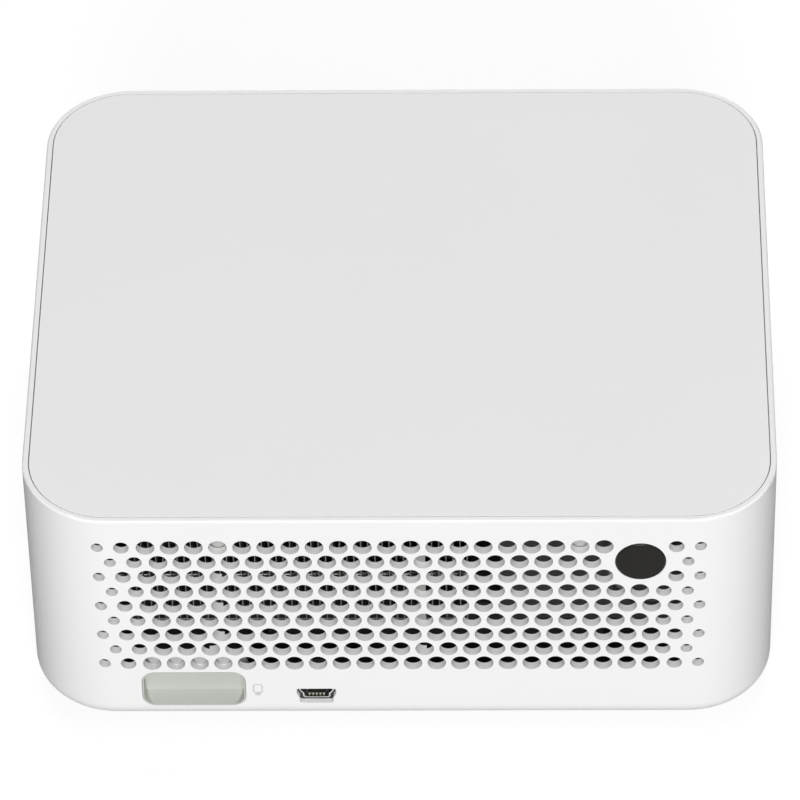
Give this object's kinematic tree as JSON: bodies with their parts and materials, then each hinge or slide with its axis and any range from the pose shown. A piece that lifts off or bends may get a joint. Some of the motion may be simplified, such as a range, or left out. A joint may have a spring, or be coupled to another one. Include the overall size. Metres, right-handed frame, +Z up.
{
  "type": "compact projector with slot-loading disc player",
  "caption": "Compact white LED projector with perforated exhaust side, wireless stick, focusing lens and slot-loading disc drive.",
  "frame": {"origin": "on the ground under the middle of the body", "axes": "+Z up, +X to the right of someone facing the exhaust grille, +Y from the grille towards the lens side"},
  "size_m": [0.165, 0.1426, 0.065],
  "materials": {
    "white_case": "fine matt white moulding",
    "white_lid": "satin white lacquer",
    "dark_plastic": "matt black moulding",
    "rubber": "soft black rubber",
    "steel": "plain bright steel",
    "brass": "turned brass",
    "smoked_window": "smoked gloss window",
    "green_board": "green solder mask",
    "grey_plastic": "light grey moulding",
    "mid_grey": "mid grey moulding",
    "pale_stick": "pale grey-green moulding",
    "plated_steel": "plated sheet steel",
    "black_plastic": "matt black moulding",
    "fin_metal": "bare aluminium sheet",
    "copper": "bare copper",
    "nickel": "nickel-plated tube",
    "black_board": "black solder mask",
    "fan_plastic": "black fan moulding",
    "cast_box": "dark cast alloy",
    "clear_glass": "coated optical glass",
    "ring_rubber": "ribbed dark grip",
    "gloss_black": "polished black ring",
    "dark_metal": "dark sintered metal",
    "cone_paper": "pressed dark paper",
    "white_key": "matt white moulding",
    "black_metal": "black coated sheet steel",
    "ribbon_film": "white film ribbon"
  },
  "bodies": {
    "case": {"housing_shell": "white_case", "top_plate": "white_lid", "base_plate": "dark_plastic", "rubber_feet": "rubber", "base_screws": "steel", "tripod_bush": "brass", "stand_pin": "steel", "remote_window": "smoked_window", "remote_board": "black_board", "inner_frame": "grey_plastic", "grille_strip": "mid_grey", "stick_bay": "black_plastic", "stick_socket": "plated_steel", "service_port": "plated_steel", "port_tongue": "black_plastic", "port_board": "black_board", "heatsink_fins": "fin_metal", "heat_pipes": "nickel", "left_fan_frame": "black_plastic", "right_fan_frame": "black_plastic", "engine_housing": "cast_box", "engine_cover": "cast_box", "lamp_modules": "copper", "chip_board": "green_board", "prism_block": "clear_glass", "lens_barrel": "black_plastic", "lens_bezel": "gloss_black", "speaker_box": "black_plastic", "speaker_frame": "steel", "speaker_magnet": "dark_metal", "main_board": "green_board", "board_parts": "black_plastic", "board_spacers": "brass", "board_screws": "steel", "power_inlet": "black_plastic", "video_socket": "plated_steel", "memory_socket": "plated_steel", "key_board": "green_board", "drive_case": "black_metal", "drive_cover": "black_metal", "drive_ribbon": "ribbon_film"},
    "stand": {"tilt_stand": "dark_plastic"},
    "stick": {"wireless_stick": "pale_stick", "stick_plug": "plated_steel"},
    "left_fan": {"left_fan_rotor": "fan_plastic"},
    "right_fan": {"right_fan_rotor": "fan_plastic"},
    "focus": {"focus_ring": "ring_rubber"},
    "lens_group": {"lens_cell": "black_plastic", "lens_glass": "clear_glass"},
    "cone": {"speaker_cone": "cone_paper"},
    "power_button": {"power_key": "white_key"},
    "eject_button": {"eject_key": "white_key"},
    "traverse": {"traverse_frame": "steel", "spindle_motor": "steel", "slide_rails": "steel", "sled_motor": "steel"},
    "hub": {"disc_hub": "black_plastic"},
    "sled": {"laser_sled": "dark_metal"},
    "screw": {"lead_screw": "steel"},
    "roller": {"feed_roller": "rubber"}
  },
  "joints": [
    {"name": "stand_fold", "type": "hinge", "parent": "case", "child": "stand", "pos_m": [0, 0.06, 0.00165], "axis": [1, 0, 0], "range_deg": [0, 75]},
    {"name": "stick_pull", "type": "slide", "parent": "case", "child": "stick", "axis": [0, -1, 0], "range_m": [0, 0.06]},
    {"name": "left_fan_spin", "type": "hinge", "parent": "case", "child": "left_fan", "pos_m": [-0.042, -0.0325, 0.04372], "axis": [0, 1, 0], "continuous": true},
    {"name": "right_fan_spin", "type": "hinge", "parent": "case", "child": "right_fan", "pos_m": [-0.003, -0.0325, 0.04372], "axis": [0, 1, 0], "continuous": true},
    {"name": "focus_turn", "type": "hinge", "parent": "case", "child": "focus", "pos_m": [-0.028, 0.06, 0.04296], "axis": [0, 1, 0], "range_deg": [-60, 60]},
    {"name": "focus_creep", "type": "slide", "parent": "case", "child": "lens_group", "axis": [0, 1, 0], "range_m": [-0.0015, 0.0015]},
    {"name": "cone_stroke", "type": "slide", "parent": "case", "child": "cone", "axis": [0, -1, 0], "range_m": [-0.0006, 0.0006], "stiffness_N_per_m": 600},
    {"name": "power_press", "type": "slide", "parent": "case", "child": "power_button", "axis": [0, -1, 0], "range_m": [0, 0.0008], "stiffness_N_per_m": 500, "springref_m": -0.001},
    {"name": "eject_press", "type": "slide", "parent": "case", "child": "eject_button", "axis": [0, -1, 0], "range_m": [0, 0.0008], "stiffness_N_per_m": 500, "springref_m": -0.001},
    {"name": "traverse_lift", "type": "slide", "parent": "case", "child": "traverse", "axis": [0, 0, 1], "range_m": [0, 0.002]},
    {"name": "hub_spin", "type": "hinge", "parent": "traverse", "child": "hub", "pos_m": [0, 0.0065, 0.0156], "axis": [0, 0, 1], "continuous": true},
    {"name": "screw_turn", "type": "hinge", "parent": "traverse", "child": "screw", "pos_m": [0.02, -0.028, 0.01382], "axis": [0, -1, 0], "range_deg": [0, 3600]},
    {"name": "sled_travel", "type": "slide", "parent": "traverse", "child": "sled", "axis": [0, -1, 0], "range_m": [0, 0.03]},
    {"name": "roller_turn", "type": "hinge", "parent": "case", "child": "roller", "pos_m": [0, 0.06, 0.01718], "axis": [1, 0, 0], "continuous": true}
  ],
  "couplings": [
    {"joint": "focus_turn", "follows": "focus_creep", "rad_per_m": 698.13},
    {"joint": "screw_turn", "follows": "sled_travel", "rad_per_m": 2094.4}
  ]
}
